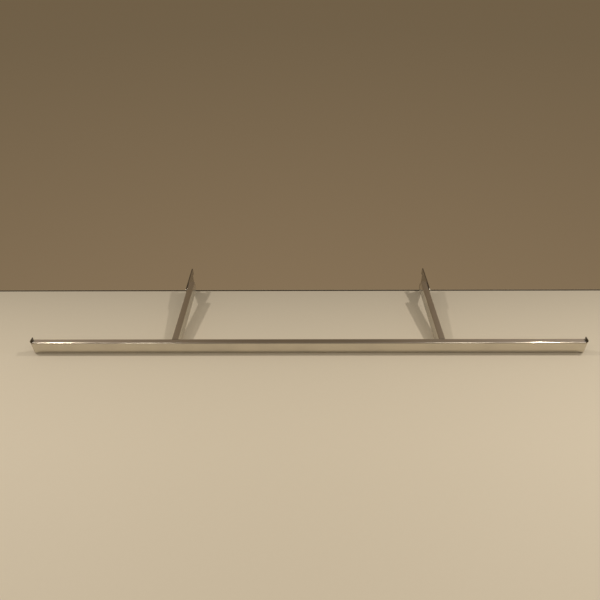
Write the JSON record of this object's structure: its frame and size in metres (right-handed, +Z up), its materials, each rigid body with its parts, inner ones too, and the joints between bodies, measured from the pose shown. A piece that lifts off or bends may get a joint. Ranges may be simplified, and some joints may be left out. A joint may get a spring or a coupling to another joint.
{
  "type": "clothes rail",
  "caption": "Chrome tube clothes rail on rear arms, with flat hook blades that hang in slotted wall uprights and black end plugs that stop hangers from sliding off.",
  "frame": {"origin": "midway between the two blades, on the plane of the uprights' front faces, at half the tube's height", "axes": "+X along the rail to the right as seen from the room, +Y towards the wall, +Z up"},
  "size_m": [1.253, 0.31, 0.076],
  "materials": {
    "chrome": "bright chrome plate on drawn steel tube and flat steel",
    "plated_weld": "chrome plate over weld beads, a little rougher",
    "black_plastic": "satin moulded black plastic"
  },
  "bodies": {
    "root": {"rail_tube": "chrome", "left_arm_tube": "chrome", "right_arm_tube": "chrome", "left_hook_blade": "chrome", "right_hook_blade": "chrome", "left_rail_plug": "black_plastic", "right_rail_plug": "black_plastic", "left_arm_plug": "black_plastic", "right_arm_plug": "black_plastic", "left_arm_weld_outer": "plated_weld", "left_arm_weld_inner": "plated_weld", "right_arm_weld_outer": "plated_weld", "right_arm_weld_inner": "plated_weld", "left_blade_weld_front": "plated_weld", "left_blade_weld_lower": "plated_weld", "right_blade_weld_front": "plated_weld", "right_blade_weld_lower": "plated_weld"}
  },
  "joints": []
}
